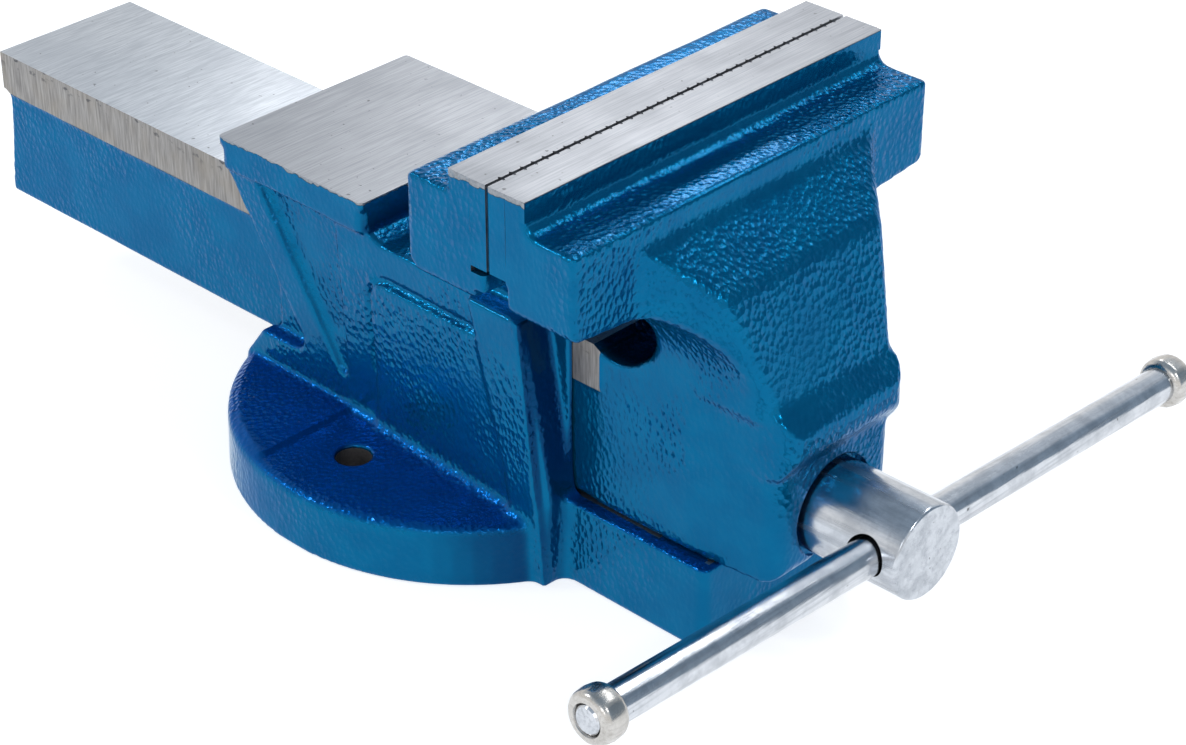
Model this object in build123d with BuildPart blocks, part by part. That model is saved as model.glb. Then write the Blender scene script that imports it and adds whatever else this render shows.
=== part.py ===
from build123d import *

import math
import os

os.makedirs("parts", exist_ok=True)

# Bench vise with a fixed round base, an anvil behind the fixed jaw and a rectangular slide.
# Frame: +X is the way the moving jaw opens, +Y runs along the jaws and +Z is up.
# The origin is the centre of the mounting circle on the underside.  Lengths are in millimetres.

# ---------------------------------------------------------------- driving dimensions
# running clearances
slide_clearance = 0.3          # slide to channel, each side
journal_clearance = 0.08       # spindle to its bores, radial
seat_clearance = 0.3           # between faces that turn or rest on one another
washer_play = 0.2              # washers and plates round their screws, radial
jaw_gap = 0.6                  # between the closed jaws
overrun = 3.0                  # construction solids run this far past the faces that trim them

# slide, a bar that is open underneath and at its tail
bar_width = 57.3
bar_height = 55.0
bar_wall = 8.0
bar_roof = 9.0
bar_tail = 289.5               # slide's rear end behind the jaw plane
bar_strip_height = 14.0        # machined along the top of each side
bar_tail_inset = 2.5           # rough casting below that strip sits back at the tail
bar_tail_draft = 4.5           # and slopes out again towards the bottom
hollow_radius = 4.0

# jaws
jaw_width = 150.0
jaw_plane_x = 84.5             # where the two jaws meet
throat_depth = 71.5            # jaw top above the slide
plate_thk = 6.5
plate_height = 27.0
serration_pitch = 4.2
serration_width = 1.6
serration_depth = 1.1
plate_screw_inset = 25.0       # screw axis from each end of the jaws
plate_screw_drop = 18.0        # screw axis below the jaw top
plate_screw_dia = 6.0
plate_screw_head_dia = 12.0
plate_screw_length = 18.0
plate_screw_tip = 1.0          # chamfer
plate_screw_sink = 1.4         # head below the serrated face
hex_socket_af = 4.0
jaw_flank_radius = 3.0         # lower edge of each free end, seen from the front

# fixed jaw block behind its plate, and the neck that carries it
fixed_land = 14.9              # machined top strip, measured back from the jaw plane
fixed_ledge_drop = 7.0
fixed_ledge_radius = 2.0
fixed_jaw_depth = 33.7
fixed_jaw_height = 38.0
fixed_jaw_back_radius = 4.0    # along the top rear edge
jaw_corner_radius = 9.0        # lower rear edge, at the free ends
jaw_edge_radius = 4.0          # upright rear corners
neck_flare_radius = 22.0
neck_flare_drop = 3.0          # underside of the block falls this much towards the neck
neck_back_drop = 4.0           # rear face runs on below the block before it turns down the neck
neck_back_radius = 14.0
neck_foot_run = 22.0           # foot of the neck's rear slope, ahead of the anvil
neck_foot_rise = 3.0
throat_radius = 8.0            # where the neck's front face meets the housing
throat_rise = 2.0
seat_drop = 2.0                # plate seat runs on below the block
seat_radius = 6.0

# housing around the slide
tail_wall_thk = 5.05           # beside the channel at the rear, low down
tail_wall_lean = 4.6           # extra thickness there just under the roof
front_wall_extra = 6.0         # extra thickness at the front, low down
front_wall_fade = 0.75         # share of that extra gone at the roof
front_foot_setback = 11.5      # housing front face behind the jaw plane, at channel floor height
front_lean = 10.5              # how much further back that face is at the roof
roof_thk = 5.5
roof_edge_radius = 2.0
channel_floor_z = 28.2
cheek_proud = 1.6              # raised panel on each side wall
cheek_setback = 12.0           # its front edge behind the housing's
cheek_drop = 13.5              # its top edge below the roof
rib_proud = 3.0                # rib along each front edge
rib_foot_width = 8.0
rib_roof_width = 22.0

# anvil, and the sloping gusset under it
anvil_length = 66.5
anvil_width = 81.3
anvil_rise = 12.9              # above the housing's roof
anvil_thk = 11.0
anvil_front_x = -5.9
anvil_corner_radius = 3.5
anvil_toe_run = 6.0            # fillet between the anvil's front and the roof
anvil_toe_radius = 4.0
gusset_slope = 0.57            # run for each millimetre of rise
gusset_foot_radius = 5.0
gusset_rib_width = 14.0
gusset_recess = 2.2
gusset_front_setback = 15.6    # recess ends this far behind the anvil's front

# round base
base_radius = 80.6
base_draft = 0.6               # top of the rim is this much smaller
base_thk = 20.8
base_step = 1.0                # rear part of the flange stands this much higher
base_step_x = -20.0
base_step_taper = 30.0         # degrees
base_rim_radius = 3.0
bolt_hole_dia = 11.5
bolt_hole_spacing = 107.0
rail_rise = 11.7               # tail of the channel walls above the flange
tail_slope = 0.75              # run for each millimetre of rise at that tail
foot_reach = 45.5              # foot ahead of the jaw plane
foot_wall_thk = 5.35           # beside the channel
foot_draft = 2.4               # degrees
foot_corner_radius = 4.0
pocket_length = 150.0          # cast pocket in the underside
pocket_width = 44.0
pocket_depth = 14.0
pocket_corner_radius = 8.0

# moving jaw: wings, shoulder and the shield that slopes down to the nose
moving_land = 14.2
shoulder_drop = 10.5
shoulder_depth = 32.4
shoulder_hollow_radius = 4.0
shoulder_edge_radius = 1.2
shoulder_lip = 7.5             # upright face under the shoulder's edge
shoulder_lip_radius = 7.0
wing_height = 37.0
wing_flare_drop = 4.0          # underside of the wings falls this much towards the neck
wing_edge_radius = 1.5
wing_root_half = 49.0          # half width where the flanks leave the shoulder
wing_root_radius = 8.0
flare_radius = 26.0
shield_knee_reach = 50.5       # where the shield's slope steepens, ahead of the jaw plane
shield_knee_rise = 3.0         # above the wings' underside
shield_knee_radius = 12.0
shield_foot_half = 23.0        # half width of the shield where it meets the nose
shield_foot_rise = 0.5         # above the slide
shield_setback = 0.8           # behind the nose's front face
flank_knee_run = 16.0          # hollow of the flanks, ahead of the shoulder
flank_knee_inset = 13.8
flank_knee_radius = 40.0
nose_side_proud = 0.15         # beyond the slide
nose_taper = 3.4               # each side, from the shoulder to the front face
nose_depth = 65.0              # front face ahead of the jaw plane
nose_corner_radius = 7.0
nose_bottom_radius = 6.0
nose_brow_run = 6.0            # sloping edge at the top of the front face
nose_brow_rise = 3.0
nose_wall = 20.0
bead_proud = 4.4               # rounded bead across the nose
bead_drop = 7.5                # its middle below the slide's top
bead_height = 20.0
bead_side_proud = 0.6
bead_crest = 7.0               # flat of its front
bead_lower_radius = 5.0
bead_upper_radius = 4.0
relief_radius = 14.3           # round relief across the neck, over the slide
relief_reach = 4.0             # its axis ahead of the jaw plane
relief_rise = 11.5             # and above the slide

# spindle
spindle_floor_gap = 1.5        # between its retaining washer and the channel floor
spindle_dia = 22.0
thread_pitch = 5.0
thread_depth = 2.2
thread_flank = 0.18            # share of the pitch
thread_crest = 0.34            # share of the pitch
thread_length = 238.0
spindle_tip = 2.0              # chamfer
head_dia = 30.0
head_proud = 34.2              # end of the head ahead of the nose
head_recess_gap = 1.5          # round the head
head_recess_depth = 3.0
head_edge = 1.2
handle_setback = 11.3          # handle axis behind the end of the head

# spindle retainer
spring_wire = 2.4
spring_turns = 3.5
spring_length = 14.0
retainer_dia = 31.0
retainer_thk = 2.5
pin_dia = 4.0
pin_span = 28.0
pin_eye_radius = 2.0
pin_eye_wire = 1.6

# handle
handle_dia = 11.6
handle_play = 1.4              # hole in the head is this much wider
handle_tilt = 3.08             # degrees, far end low
handle_span = 258.5            # between knob centres
handle_shift = 5.6             # how far it is pushed through towards the far end
handle_tenon_dia = 8.6
knob_dia = 16.6
knob_length = 9.0
knob_face_dia = 11.4

# spindle nut
nut_setback = 50.0             # middle of the nut behind the jaw plane
nut_length = 42.0
nut_side_gap = 2.65            # to the slide's walls
nut_height = 34.0
nut_corner_radius = 4.0
nut_stem_dia = 24.0
nut_stem_gap = 3.2             # stem ends this far above the pocket
nut_bolt_dia = 10.0
nut_bolt_length = 22.0
nut_bolt_head_af = 17.0
nut_bolt_head_height = 6.4
nut_tap_runout = 1.0
nut_washer_dia = 34.0
nut_washer_thk = 3.0
lock_washer_dia = 18.0
lock_washer_thk = 2.2
lock_washer_split = 1.2
dowel_dia = 6.0
dowel_length = 9.0
dowel_offset = 16.5

# ---------------------------------------------------------------- derived places
bar_bottom_z = channel_floor_z + slide_clearance
bar_top_z = bar_bottom_z + bar_height
bar_tail_x = jaw_plane_x - bar_tail
channel_top_z = bar_top_z + slide_clearance
channel_half = bar_width / 2 + slide_clearance
roof_top_z = channel_top_z + roof_thk

jaw_top_z = bar_top_z + throat_depth
fixed_face_x = jaw_plane_x - jaw_gap / 2
moving_face_x = jaw_plane_x + jaw_gap / 2
fixed_seat_x = fixed_face_x - plate_thk
moving_seat_x = moving_face_x + plate_thk
plate_bottom_z = jaw_top_z - plate_height
plate_screw_y = jaw_width / 2 - plate_screw_inset
plate_screw_z = jaw_top_z - plate_screw_drop

jaw_rear_x = jaw_plane_x - fixed_jaw_depth
fixed_land_x = jaw_plane_x - fixed_land
jaw_block_bottom_z = jaw_top_z - fixed_jaw_height
tail_wall_half = channel_half + tail_wall_thk
anvil_rear_x = anvil_front_x - anvil_length
anvil_top_z = roof_top_z + anvil_rise
anvil_under_z = anvil_top_z - anvil_thk
front_foot_x = jaw_plane_x - front_foot_setback
front_roof_x = front_foot_x - front_lean
cheek_front_x = front_foot_x - cheek_setback
cheek_top_z = roof_top_z - cheek_drop
base_top_radius = base_radius - base_draft
rail_top_z = base_thk + rail_rise
tail_x = -math.sqrt(base_top_radius**2 - tail_wall_half**2)
gusset_foot_x = anvil_rear_x + (anvil_under_z - rail_top_z) * gusset_slope
foot_tip_x = jaw_plane_x + foot_reach
foot_half = channel_half + foot_wall_thk

nose_x = jaw_plane_x + nose_depth
nose_inner_x = nose_x - nose_wall
nose_half = bar_width / 2 + nose_side_proud
nose_half_front = nose_half - nose_taper
moving_land_x = jaw_plane_x + moving_land
shoulder_x = jaw_plane_x + shoulder_depth
shoulder_z = jaw_top_z - shoulder_drop
wing_bottom_z = jaw_top_z - wing_height
shield_bottom_z = bar_top_z + shield_foot_rise
bead_z = bar_top_z - bead_drop

spindle_z = channel_floor_z + spindle_floor_gap + retainer_dia / 2
head_end_x = nose_x + head_proud
head_start_x = nose_x - head_recess_depth + seat_clearance
handle_x = head_end_x - handle_setback
handle_hole_dia = handle_dia + handle_play
handle_drop = handle_play / 2 - seat_clearance
retainer_x = nose_inner_x - seat_clearance - spring_length - retainer_thk
pin_x = retainer_x - pin_dia / 2
thread_front_x = pin_x - pin_dia
spindle_end_x = thread_front_x - thread_length

nut_mid_x = jaw_plane_x - nut_setback
nut_width = bar_width - 2 * bar_wall - 2 * nut_side_gap
nut_stem_length = channel_floor_z - pocket_depth - nut_stem_gap
nut_stem_z = channel_floor_z - nut_stem_length
lock_top_z = pocket_depth - nut_washer_thk
bolt_seat_z = lock_top_z - lock_washer_thk
bolt_top_z = bolt_seat_z + nut_bolt_length


def rounded(corners):
    """Closed outline through (u, v, corner radius) triples; a radius is limited by its two sides."""
    count = len(corners)
    points = [Vector(u, v) for u, v, radius in corners]
    sides = [points[(i + 1) % count] - points[i] for i in range(count)]
    reach = []
    for i, (u, v, radius) in enumerate(corners):
        turn = sides[i - 1].get_angle(sides[i])
        reach.append(radius * math.tan(math.radians(turn) / 2))
    room = [sides[i].length / max(reach[i] + reach[(i + 1) % count], 1e-9) for i in range(count)]
    limits = [min(1.0, 0.98 * room[i - 1], 0.98 * room[i]) for i in range(count)]
    radii = [radius * limit for (u, v, radius), limit in zip(corners, limits)]
    FilletPolyline(*points, radius=radii, close=True)


def mirrored(corners):
    """Corners on the positive side, followed by their mirror images in reverse order."""
    return corners + [(-u, v, r) for u, v, r in reversed(corners)]


def wall_half(x, z):
    """Outer half width of the housing wall: wider towards the front, and it leans out."""
    along = min(max((x - anvil_front_x) / (front_foot_x - anvil_front_x), 0.0), 1.0)
    up = z / roof_top_z
    return tail_wall_half + tail_wall_lean * up + front_wall_extra * along * (1.0 - front_wall_fade * up)


def wall_section(z, rear_x, front_x, proud):
    """Plan section of one raised wall layer at height z, on the +Y side, as a polygon's points."""
    root = channel_half + overrun
    outer = [(x, wall_half(x, z) + proud) for x in (rear_x, front_x)]
    return [(rear_x, root), *outer, (front_x, root)]


# ---------------------------------------------------------------- housing around the slide
with BuildPart() as housing:
    for z in (0.0, roof_top_z + overrun):
        half = [(x, wall_half(x, z)) for x in (tail_x - overrun, anvil_front_x, front_foot_x + overrun)]
        with BuildSketch(Plane.XY.offset(z)):
            Polygon(*half, *[(x, -y) for x, y in reversed(half)], align=None)
    loft(ruled=True)
    with BuildSketch(Plane.XZ):
        with BuildLine():
            rounded(
                [
                    (front_foot_x, 0, 0),
                    (front_foot_x, channel_floor_z, 0),
                    (front_roof_x, roof_top_z, roof_edge_radius),
                    (anvil_front_x + anvil_toe_run, roof_top_z, anvil_toe_radius),
                    (anvil_front_x, anvil_under_z, 0),
                    (anvil_rear_x, anvil_under_z, 0),
                    (gusset_foot_x, rail_top_z, gusset_foot_radius),
                    (tail_x + tail_slope * rail_rise, rail_top_z, roof_edge_radius),
                    (tail_x, base_thk, 0),
                    (tail_x, 0, 0),
                ]
            )
        make_face()
    extrude(amount=anvil_width, both=True, mode=Mode.INTERSECT)

# ---------------------------------------------------------------- fixed jaw block and its neck
with BuildPart() as jaw_block:
    with BuildSketch(Plane.YZ):
        with BuildLine():
            rounded(
                mirrored(
                    [
                        (tail_wall_half, channel_top_z, 0),
                        (tail_wall_half, jaw_block_bottom_z - neck_flare_drop, neck_flare_radius),
                        (jaw_width / 2, jaw_block_bottom_z, jaw_flank_radius),
                        (jaw_width / 2, jaw_top_z, 0),
                    ]
                )
            )
        make_face()
    extrude(amount=fixed_seat_x)
    with BuildSketch(Plane.XZ):
        with BuildLine():
            rounded(
                [
                    (fixed_seat_x, jaw_top_z, 0),
                    (fixed_land_x, jaw_top_z, 0),
                    (fixed_land_x, jaw_top_z - fixed_ledge_drop, fixed_ledge_radius),
                    (jaw_rear_x, jaw_top_z - fixed_ledge_drop, fixed_jaw_back_radius),
                    (jaw_rear_x, jaw_block_bottom_z - neck_back_drop, neck_back_radius),
                    (anvil_front_x + neck_foot_run, roof_top_z + neck_foot_rise, neck_back_radius),
                    (anvil_front_x + anvil_toe_run, channel_top_z, 0),
                    (front_roof_x, channel_top_z, 0),
                    (front_roof_x, roof_top_z + throat_rise, throat_radius),
                    (fixed_seat_x, jaw_block_bottom_z - seat_drop, seat_radius),
                ]
            )
        make_face()
    extrude(amount=jaw_width / 2, both=True, mode=Mode.INTERSECT)
    # the free ends of the block are rounded off at the lower rear corner
    with BuildSketch(Plane.XZ.offset(jaw_width / 2)):
        with Locations((jaw_rear_x + jaw_corner_radius / 2, jaw_block_bottom_z + jaw_corner_radius / 2)):
            Rectangle(jaw_corner_radius, jaw_corner_radius)
        with Locations((jaw_rear_x + jaw_corner_radius, jaw_block_bottom_z + jaw_corner_radius)):
            Circle(jaw_corner_radius, mode=Mode.SUBTRACT)
    free_length = jaw_width / 2 - tail_wall_half - neck_flare_radius
    end_trim = extrude(amount=-free_length, mode=Mode.SUBTRACT)
    mirror(end_trim, about=Plane.XZ, mode=Mode.SUBTRACT)
    with BuildSketch(Plane.XY.offset(channel_floor_z)):
        with BuildLine():
            rounded(
                [
                    (fixed_seat_x, jaw_width / 2, 0),
                    (jaw_rear_x, jaw_width / 2, jaw_edge_radius),
                    (jaw_rear_x, tail_wall_half, 0),
                    (0, tail_wall_half, 0),
                    (0, -tail_wall_half, 0),
                    (jaw_rear_x, -tail_wall_half, 0),
                    (jaw_rear_x, -jaw_width / 2, jaw_edge_radius),
                    (fixed_seat_x, -jaw_width / 2, 0),
                ]
            )
        make_face()
    extrude(amount=jaw_top_z - channel_floor_z, mode=Mode.INTERSECT)

# ---------------------------------------------------------------- fixed body casting
with BuildPart() as fixed_body:
    add(housing.part)
    add(jaw_block.part)
    # round base with a drafted, rounded rim
    with BuildSketch(Plane.XZ):
        with BuildLine():
            rounded(
                [
                    (0, 0, 0),
                    (base_radius, 0, 0),
                    (base_top_radius, base_thk, base_rim_radius),
                    (0, base_thk, 0),
                ]
            )
        make_face()
    revolve(axis=Axis.Z)
    # the rear part of the flange is a little higher
    with BuildSketch(Plane.XY.offset(base_thk)):
        Circle(base_top_radius - base_rim_radius)
        with Locations((base_step_x + base_radius, 0)):
            Rectangle(2 * base_radius, 2 * base_radius, mode=Mode.SUBTRACT)
    extrude(amount=base_step, taper=base_step_taper)
    # foot that runs forward under the moving jaw
    with BuildSketch(Plane.XY):
        with BuildLine():
            rounded(
                [
                    (0, -foot_half, 0),
                    (foot_tip_x, -foot_half, foot_corner_radius),
                    (foot_tip_x, foot_half, foot_corner_radius),
                    (0, foot_half, 0),
                ]
            )
        make_face()
    extrude(amount=channel_floor_z, taper=foot_draft)
    # anvil
    with BuildSketch(Plane.XY.offset(anvil_under_z)):
        with Locations(((anvil_front_x + anvil_rear_x) / 2, 0)):
            RectangleRounded(anvil_length, anvil_width, anvil_corner_radius)
    extrude(amount=anvil_thk)
    # raised panel on each side wall, and the prouder rib along each front edge
    for side in (1, -1):
        for z in (base_thk - overrun, cheek_top_z):
            points = wall_section(z, anvil_front_x, cheek_front_x, cheek_proud)
            with BuildSketch(Plane.XY.offset(z)):
                Polygon(*[(x, side * y) for x, y in points], align=None)
        loft(ruled=True)
        rib_ends = ((0.0, front_foot_x, rib_foot_width), (roof_top_z, front_roof_x, rib_roof_width))
        for z, front_x, width in rib_ends:
            points = wall_section(z, front_x - width, front_x, rib_proud)
            with BuildSketch(Plane.XY.offset(z)):
                Polygon(*[(x, side * y) for x, y in points], align=None)
        loft(ruled=True)
    # three-cornered recess under the anvil, behind its diagonal rib
    for side in (1, -1):
        for z in (rail_top_z, anvil_under_z):
            x = anvil_rear_x + gusset_rib_width + gusset_slope * (anvil_under_z - z)
            front_x = max(anvil_front_x - gusset_front_setback, x + overrun)
            y = wall_half(x, z)
            with BuildSketch(Plane.XY.offset(z)):
                Polygon(
                    (x, side * (y - gusset_recess)),
                    (x, side * (y + overrun)),
                    (front_x, side * (y + overrun)),
                    (front_x, side * (y - gusset_recess)),
                    align=None,
                )
        loft(ruled=True, mode=Mode.SUBTRACT)
    # channel for the slide, straight through
    with BuildSketch(Plane.YZ.offset(tail_x - overrun)):
        with Locations((0, (channel_floor_z + channel_top_z) / 2)):
            Rectangle(2 * channel_half, channel_top_z - channel_floor_z)
    extrude(amount=foot_tip_x - tail_x + 2 * overrun, mode=Mode.SUBTRACT)
    # pocket in the underside, over the nut's bolt
    with BuildSketch(Plane.XY):
        with Locations((nut_mid_x, 0)):
            RectangleRounded(pocket_length, pocket_width, pocket_corner_radius)
    extrude(amount=pocket_depth, mode=Mode.SUBTRACT)
    # seats of the nut's stem and dowel
    with Locations((nut_mid_x, 0, channel_floor_z)):
        Hole(nut_stem_dia / 2 + journal_clearance, depth=channel_floor_z)
    with Locations((nut_mid_x - dowel_offset, 0, channel_floor_z)):
        Hole(dowel_dia / 2, depth=dowel_length / 2)
    # mounting holes
    with Locations((0, 0, base_thk + base_step)):
        with GridLocations(0, bolt_hole_spacing, 1, 2):
            Hole(bolt_hole_dia / 2)
    # tapped holes for the jaw plate screws
    with Locations(
        *[
            Location((fixed_seat_x, y, plate_screw_z), (0, 90, 0))
            for y in (-plate_screw_y, plate_screw_y)
        ]
    ):
        Hole(plate_screw_dia / 2, depth=plate_screw_length)

# ---------------------------------------------------------------- moving jaw casting
with BuildPart() as jaw_shield:
    # outline seen from the front: wings and flare
    with BuildSketch(Plane.YZ.offset(jaw_plane_x)):
        with BuildLine():
            rounded(
                mirrored(
                    [
                        (nose_half, shield_bottom_z, 0),
                        (nose_half, wing_bottom_z - wing_flare_drop, flare_radius),
                        (jaw_width / 2, wing_bottom_z, jaw_flank_radius),
                        (jaw_width / 2, jaw_top_z, 0),
                    ]
                )
            )
        make_face()
    extrude(amount=nose_depth)
    # outline seen from the side: land, shoulder and sloping shield
    knee_x = jaw_plane_x + shield_knee_reach
    with BuildSketch(Plane.XZ):
        with BuildLine():
            rounded(
                [
                    (moving_seat_x, shield_bottom_z, 0),
                    (nose_x - shield_setback, shield_bottom_z, 0),
                    (knee_x, wing_bottom_z + shield_knee_rise, shield_knee_radius),
                    (shoulder_x, shoulder_z - shoulder_lip, shoulder_lip_radius),
                    (shoulder_x, shoulder_z, shoulder_edge_radius),
                    (moving_land_x, shoulder_z, shoulder_hollow_radius),
                    (moving_land_x, jaw_top_z, 0),
                    (moving_seat_x, jaw_top_z, 0),
                ]
            )
        make_face()
    extrude(amount=jaw_width / 2, both=True, mode=Mode.INTERSECT)
    # outline seen from above: wings with hollow flanks that lead to the nose
    flank_x = shoulder_x + flank_knee_run
    flank_half = wing_root_half - flank_knee_inset
    with BuildSketch(Plane.XY.offset(shield_bottom_z)):
        with BuildLine():
            rounded(
                [
                    (jaw_plane_x, jaw_width / 2, 0),
                    (shoulder_x, jaw_width / 2, wing_edge_radius),
                    (shoulder_x, wing_root_half, wing_root_radius),
                    (flank_x, flank_half, flank_knee_radius),
                    (nose_x, shield_foot_half, nose_corner_radius),
                    (nose_x, -shield_foot_half, nose_corner_radius),
                    (flank_x, -flank_half, flank_knee_radius),
                    (shoulder_x, -wing_root_half, wing_root_radius),
                    (shoulder_x, -jaw_width / 2, wing_edge_radius),
                    (jaw_plane_x, -jaw_width / 2, 0),
                ]
            )
        make_face()
    extrude(amount=jaw_top_z - shield_bottom_z, mode=Mode.INTERSECT)

nose_top_z = shield_bottom_z + nose_brow_rise
with BuildPart() as nose:
    with BuildSketch(Plane.XY.offset(bar_bottom_z)):
        with BuildLine():
            rounded(
                [
                    (jaw_plane_x, bar_width / 2, 0),
                    (shoulder_x, nose_half, 0),
                    (nose_x, nose_half_front, nose_corner_radius),
                    (nose_x, -nose_half_front, nose_corner_radius),
                    (shoulder_x, -nose_half, 0),
                    (jaw_plane_x, -bar_width / 2, 0),
                ]
            )
        make_face()
    extrude(amount=nose_top_z - bar_bottom_z)
    with BuildSketch(Plane.XZ):
        with BuildLine():
            rounded(
                [
                    (jaw_plane_x, bar_bottom_z, 0),
                    (nose_x, bar_bottom_z, nose_bottom_radius),
                    (nose_x, shield_bottom_z - nose_brow_rise, 0),
                    (nose_x - nose_brow_run, nose_top_z, 0),
                    (jaw_plane_x, nose_top_z, 0),
                ]
            )
        make_face()
    extrude(amount=jaw_width / 2, both=True, mode=Mode.INTERSECT)

# rounded bead across the nose, between the shield and the flat front face
bead_x = nose_x + bead_proud
bead_half = nose_half + bead_side_proud - nose_taper
bead_bottom_z = bead_z - bead_height / 2
bead_top_z = bead_z + bead_height / 2
with BuildPart() as bead:
    with BuildSketch(Plane.XY.offset(bead_bottom_z)):
        with BuildLine():
            rounded(
                [
                    (shoulder_x, nose_half - bead_side_proud, 0),
                    (bead_x, bead_half, nose_corner_radius),
                    (bead_x, -bead_half, nose_corner_radius),
                    (shoulder_x, -nose_half + bead_side_proud, 0),
                ]
            )
        make_face()
    extrude(amount=bead_height)
    with BuildSketch(Plane.XZ):
        with BuildLine():
            rounded(
                [
                    (shoulder_x, bead_bottom_z, 0),
                    (nose_x, bead_bottom_z, 0),
                    (bead_x, bead_z - bead_crest / 2, bead_lower_radius),
                    (bead_x, bead_z + bead_crest / 2, bead_upper_radius),
                    (nose_x - shield_setback, bead_top_z, 0),
                    (shoulder_x, bead_top_z, 0),
                ]
            )
        make_face()
    extrude(amount=jaw_width / 2, both=True, mode=Mode.INTERSECT)

with BuildPart() as moving_jaw:
    add(jaw_shield.part)
    add(nose.part)
    add(bead.part)
    # slide
    strip_z = bar_top_z - bar_strip_height
    with BuildSketch(Plane.XZ):
        with BuildLine():
            Polyline(
                (bar_tail_x, bar_top_z),
                (bar_tail_x, strip_z),
                (bar_tail_x + bar_tail_inset, strip_z),
                (bar_tail_x + bar_tail_inset - bar_tail_draft, bar_bottom_z),
                (shoulder_x, bar_bottom_z),
                (shoulder_x, bar_top_z),
                close=True,
            )
        make_face()
    extrude(amount=bar_width / 2, both=True)
    # the slide is open underneath, and at its tail
    with BuildSketch(Plane.YZ.offset(bar_tail_x - bar_tail_draft)):
        with BuildLine():
            rounded(
                mirrored(
                    [
                        (bar_width / 2 - bar_wall, bar_bottom_z - overrun, 0),
                        (bar_width / 2 - bar_wall, bar_top_z - bar_roof, hollow_radius),
                    ]
                )
            )
        make_face()
    extrude(amount=nose_inner_x - bar_tail_x + bar_tail_draft, mode=Mode.SUBTRACT)
    # round relief across the neck
    with BuildSketch(Plane.XZ):
        with Locations((jaw_plane_x + relief_reach, bar_top_z + relief_rise)):
            Circle(relief_radius)
    extrude(amount=jaw_width / 2, both=True, mode=Mode.SUBTRACT)
    # spindle bore and the recess that its head seats in
    with Locations(Location((nose_x, 0, spindle_z), (0, 90, 0))):
        CounterBoreHole(
            spindle_dia / 2 + journal_clearance,
            head_dia / 2 + head_recess_gap,
            head_recess_depth,
            depth=nose_wall + overrun,
        )
    # tapped holes for the jaw plate screws
    with Locations(
        *[
            Location((moving_seat_x, y, plate_screw_z), (0, -90, 0))
            for y in (-plate_screw_y, plate_screw_y)
        ]
    ):
        Hole(plate_screw_dia / 2, depth=plate_screw_length)


# ---------------------------------------------------------------- jaw plates and their screws
def plate(face_x, outward):
    """Serrated jaw plate whose gripping face is at face_x; outward is the sign of its normal."""
    groove_count = int((jaw_width - serration_pitch) / serration_pitch)
    with BuildPart() as made:
        with BuildSketch(Plane.XY.offset(plate_bottom_z)):
            with Locations((face_x - outward * plate_thk / 2, 0)):
                Rectangle(plate_thk, jaw_width)
            with Locations((face_x, 0)):
                with GridLocations(0, serration_pitch, 1, groove_count):
                    Polygon(
                        (0, -serration_width / 2),
                        (0, serration_width / 2),
                        (-outward * serration_depth, 0),
                        align=None,
                        mode=Mode.SUBTRACT,
                    )
        extrude(amount=plate_height)
        with Locations(
            *[
                Location((face_x, y, plate_screw_z), (0, 90 * outward, 0))
                for y in (-plate_screw_y, plate_screw_y)
            ]
        ):
            CounterSinkHole(
                plate_screw_dia / 2 + washer_play,
                plate_screw_head_dia / 2 + plate_screw_sink,
                depth=plate_thk,
                counter_sink_angle=90,
            )
    return made.part


def plate_screw(face_x, outward, y):
    """Countersunk socket screw, its head sunk below the serrated face."""
    head_x = face_x - outward * plate_screw_sink
    cone = plate_screw_head_dia / 2 - plate_screw_dia / 2
    with BuildPart() as made:
        with BuildSketch(Plane.XY):
            with BuildLine():
                Polyline(
                    (0, 0),
                    (plate_screw_head_dia / 2, 0),
                    (plate_screw_dia / 2, -cone),
                    (plate_screw_dia / 2, -plate_screw_length + plate_screw_tip),
                    (plate_screw_dia / 2 - plate_screw_tip, -plate_screw_length),
                    (0, -plate_screw_length),
                    close=True,
                )
            make_face()
        revolve(axis=Axis.Y)
        with BuildSketch(Plane.XZ):
            RegularPolygon(hex_socket_af / 2, 6, major_radius=False)
        extrude(amount=-cone, both=True, mode=Mode.SUBTRACT)
    turn = Rotation(0, 0, -90 * outward)
    return Location((head_x, y, plate_screw_z)) * turn * made.part


fixed_jaw_plate = plate(fixed_face_x, 1)
moving_jaw_plate = plate(moving_face_x, -1)
fixed_jaw_screws = {}
moving_jaw_screws = {}
for place, y in (("near", -plate_screw_y), ("far", plate_screw_y)):
    fixed_jaw_screws[place] = plate_screw(fixed_face_x, 1, y)
    moving_jaw_screws[place] = plate_screw(moving_face_x, -1, y)

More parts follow.
